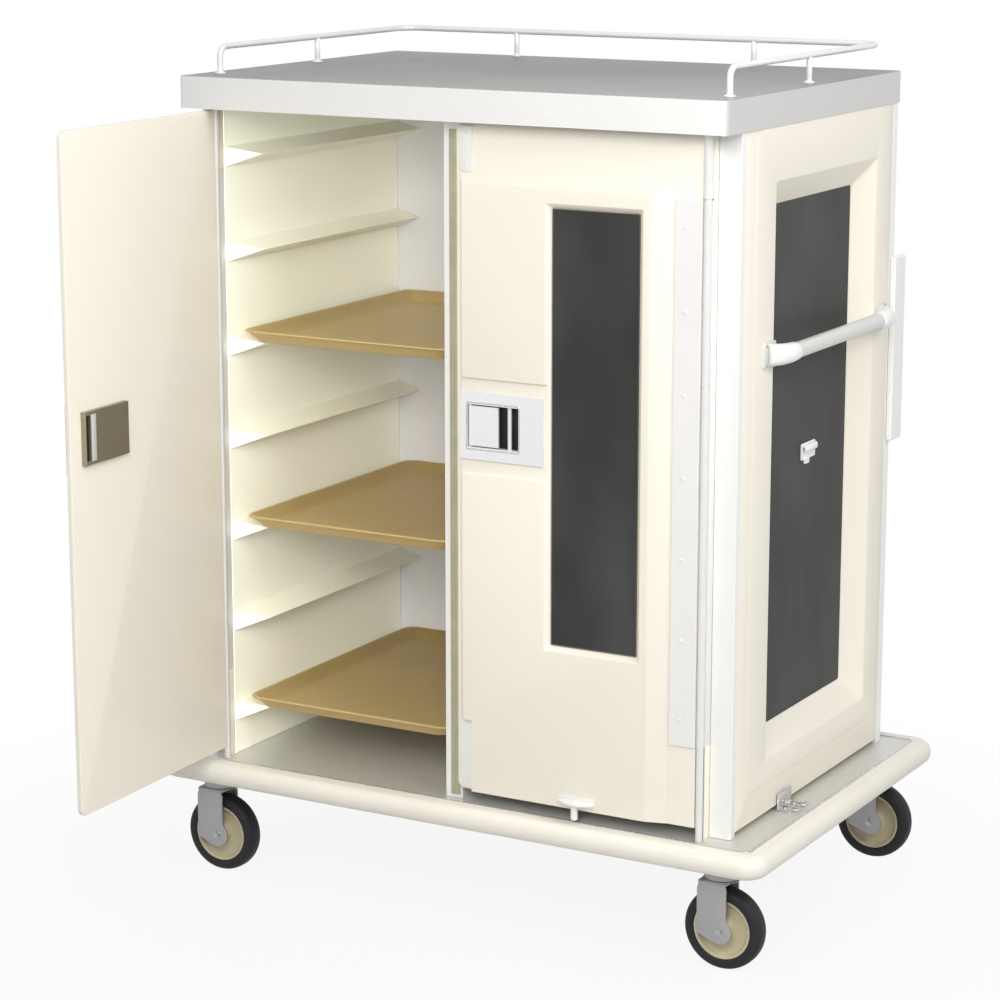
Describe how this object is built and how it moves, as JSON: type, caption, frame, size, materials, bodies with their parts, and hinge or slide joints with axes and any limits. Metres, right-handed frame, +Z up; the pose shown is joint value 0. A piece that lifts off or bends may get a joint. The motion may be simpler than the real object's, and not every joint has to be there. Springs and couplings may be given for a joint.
{
  "type": "meal tray cart",
  "caption": "Enclosed meal tray cart with hinged doors, inner tray ledges, push handles, top guard rail, wrap-round bumper and swivel casters.",
  "frame": {"origin": "on the floor under the middle of the bounding box, in the rest pose with the left door open", "axes": "+Z up, the doors face -Y, the push handles are on the +X and -X sides"},
  "size_m": [1.0826, 1.0802, 1.344],
  "materials": {
    "stainless": "satin brushed",
    "bright_steel": "polished",
    "white_steel": "satin",
    "cream_panel": "satin",
    "cream_liner": "satin",
    "bumper_vinyl": "satin",
    "dark_pane": "smoked",
    "latch_steel": "satin",
    "caster_steel": "satin",
    "caster_core": "satin",
    "tyre_rubber": "matte",
    "tray_resin": "satin"
  },
  "bodies": {
    "cart": {"base_deck": "stainless", "base_frame": "caster_steel", "bumper_track": "bright_steel", "bumper": "bumper_vinyl", "divider": "cream_liner", "center_stile": "white_steel", "back_liner": "white_steel", "rear_panel": "cream_panel", "top_cap": "stainless", "top_rail": "bright_steel", "card_clip": "white_steel", "post_front_left": "stainless", "post_rear_left": "stainless", "side_panel_left": "cream_panel", "side_inset_left": "dark_pane", "liner_left": "cream_liner", "push_handle_left": "white_steel", "guard_bar_left": "white_steel", "deck_catch_left": "bright_steel", "post_front_right": "stainless", "post_rear_right": "stainless", "side_panel_right": "cream_panel", "side_inset_right": "dark_pane", "liner_right": "cream_liner", "push_handle_right": "white_steel", "guard_bar_right": "white_steel", "deck_catch_right": "bright_steel"},
    "door_left": {"hinge_rod_left": "bright_steel", "door_panel_left": "cream_panel", "door_skin_left": "cream_panel", "door_inset_left": "dark_pane", "hinge_leaf_left": "white_steel", "latch_bezel_left": "bright_steel", "latch_case_left": "latch_steel"},
    "paddle_left": {"latch_paddle_left": "bright_steel"},
    "cam_left": {"latch_cam_left": "bright_steel"},
    "door_right": {"hinge_rod_right": "bright_steel", "door_panel_right": "cream_panel", "door_skin_right": "cream_panel", "door_inset_right": "dark_pane", "hinge_leaf_right": "white_steel", "latch_bezel_right": "bright_steel", "latch_case_right": "latch_steel"},
    "paddle_right": {"latch_paddle_right": "bright_steel"},
    "cam_right": {"latch_cam_right": "bright_steel"},
    "swivel_front_left": {"caster_fork_front_left": "caster_steel"},
    "wheel_front_left": {"wheel_core_front_left": "caster_core", "tyre_front_left": "tyre_rubber"},
    "swivel_front_right": {"caster_fork_front_right": "caster_steel"},
    "wheel_front_right": {"wheel_core_front_right": "caster_core", "tyre_front_right": "tyre_rubber"},
    "swivel_rear_left": {"caster_fork_rear_left": "caster_steel"},
    "wheel_rear_left": {"wheel_core_rear_left": "caster_core", "tyre_rear_left": "tyre_rubber"},
    "swivel_rear_right": {"caster_fork_rear_right": "caster_steel"},
    "wheel_rear_right": {"wheel_core_rear_right": "caster_core", "tyre_rear_right": "tyre_rubber"},
    "tray_level_3": {"tray_3": "tray_resin"},
    "tray_level_5": {"tray_5": "tray_resin"},
    "tray_level_7": {"tray_7": "tray_resin"}
  },
  "joints": [
    {"name": "door_left_swing", "type": "hinge", "parent": "cart", "child": "door_left", "pos_m": [-0.423, -0.1292, 0.7], "axis": [0, 0, 1], "range_deg": [-92, 88]},
    {"name": "door_right_swing", "type": "hinge", "parent": "cart", "child": "door_right", "pos_m": [0.423, -0.1292, 0.7], "axis": [0, 0, 1], "range_deg": [0, 180]},
    {"name": "paddle_left_pull", "type": "hinge", "parent": "door_left", "child": "paddle_left", "pos_m": [-0.41908, -0.5137, 0.794], "axis": [0, 0, 1], "range_deg": [0, 30], "stiffness_Nm_per_rad": 0.4},
    {"name": "cam_left_turn", "type": "hinge", "parent": "door_left", "child": "cam_left", "pos_m": [-0.40127, -0.50518, 0.794], "axis": [0, 0, 1], "range_deg": [0, 15]},
    {"name": "paddle_right_pull", "type": "hinge", "parent": "door_right", "child": "paddle_right", "pos_m": [0.0386, -0.1387, 0.794], "axis": [0, 0, 1], "range_deg": [-30, 0], "stiffness_Nm_per_rad": 0.4},
    {"name": "cam_right_turn", "type": "hinge", "parent": "door_right", "child": "cam_right", "pos_m": [0.0465, -0.12061, 0.794], "axis": [0, 0, 1], "range_deg": [-15, 0]},
    {"name": "swivel_front_left_turn", "type": "hinge", "parent": "cart", "child": "swivel_front_left", "pos_m": [-0.453, -0.1072, 0.14], "axis": [0, 0, 1], "continuous": true},
    {"name": "wheel_front_left_spin", "type": "hinge", "parent": "swivel_front_left", "child": "wheel_front_left", "pos_m": [-0.447, -0.1072, 0.0635], "axis": [0, 1, 0], "continuous": true},
    {"name": "swivel_front_right_turn", "type": "hinge", "parent": "cart", "child": "swivel_front_right", "pos_m": [0.453, -0.1072, 0.14], "axis": [0, 0, 1], "continuous": true},
    {"name": "wheel_front_right_spin", "type": "hinge", "parent": "swivel_front_right", "child": "wheel_front_right", "pos_m": [0.459, -0.1072, 0.0635], "axis": [0, 1, 0], "continuous": true},
    {"name": "swivel_rear_left_turn", "type": "hinge", "parent": "cart", "child": "swivel_rear_left", "pos_m": [-0.453, 0.4738, 0.14], "axis": [0, 0, 1], "continuous": true},
    {"name": "wheel_rear_left_spin", "type": "hinge", "parent": "swivel_rear_left", "child": "wheel_rear_left", "pos_m": [-0.447, 0.4738, 0.0635], "axis": [0, 1, 0], "continuous": true},
    {"name": "swivel_rear_right_turn", "type": "hinge", "parent": "cart", "child": "swivel_rear_right", "pos_m": [0.453, 0.4738, 0.14], "axis": [0, 0, 1], "continuous": true},
    {"name": "wheel_rear_right_spin", "type": "hinge", "parent": "swivel_rear_right", "child": "wheel_rear_right", "pos_m": [0.459, 0.4738, 0.0635], "axis": [0, 1, 0], "continuous": true},
    {"name": "tray_3_slide", "type": "slide", "parent": "cart", "child": "tray_level_3", "axis": [0, 1, 0], "range_m": [-0.3, 0]},
    {"name": "tray_5_slide", "type": "slide", "parent": "cart", "child": "tray_level_5", "axis": [0, 1, 0], "range_m": [-0.3, 0]},
    {"name": "tray_7_slide", "type": "slide", "parent": "cart", "child": "tray_level_7", "axis": [0, 1, 0], "range_m": [-0.3, 0]}
  ],
  "couplings": [
    {"joint": "cam_left_turn", "follows": "paddle_left_pull", "ratio": 0.5},
    {"joint": "cam_right_turn", "follows": "paddle_right_pull", "ratio": 0.5}
  ]
}
